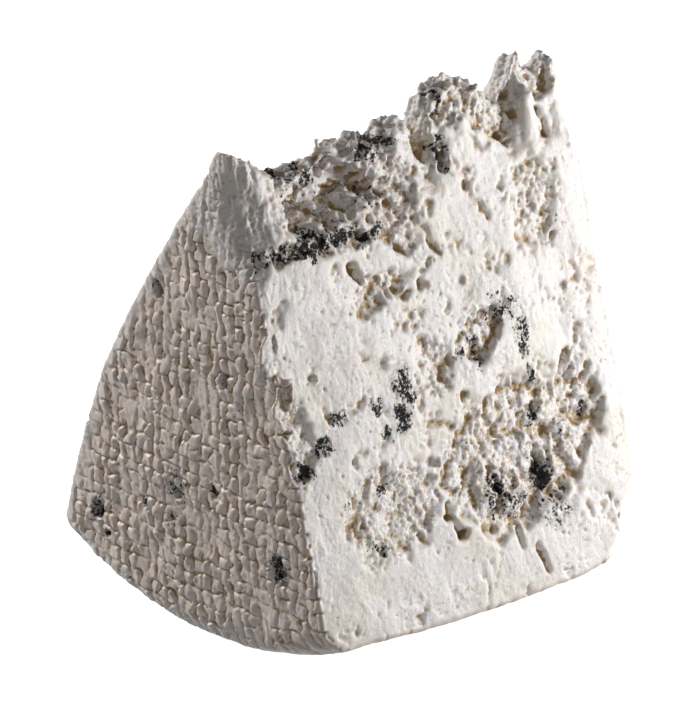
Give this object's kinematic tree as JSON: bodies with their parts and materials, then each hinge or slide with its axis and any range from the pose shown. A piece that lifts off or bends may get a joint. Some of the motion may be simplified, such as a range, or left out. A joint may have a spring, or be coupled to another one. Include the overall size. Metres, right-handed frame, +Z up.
{
  "type": "gorgonzola wedge",
  "caption": "Wedge of blue-veined cheese standing on its curved rind, with a crumbled point, torn cut faces and cloth-marked ends.",
  "frame": {"origin": "under the middle of the wedge, on the surface that it stands on", "axes": "+Z up, from the wheel's curved side to the wedge's point; X along the wheel's axis; the shown cut faces -Y"},
  "size_m": [0.1287, 0.1216, 0.1564],
  "materials": {
    "paste": "moist crumbly cream paste with blue-grey mould veins, and a pale cloth-marked rind"
  },
  "bodies": {
    "root": {"gorgonzola_wedge": "paste"}
  },
  "joints": []
}
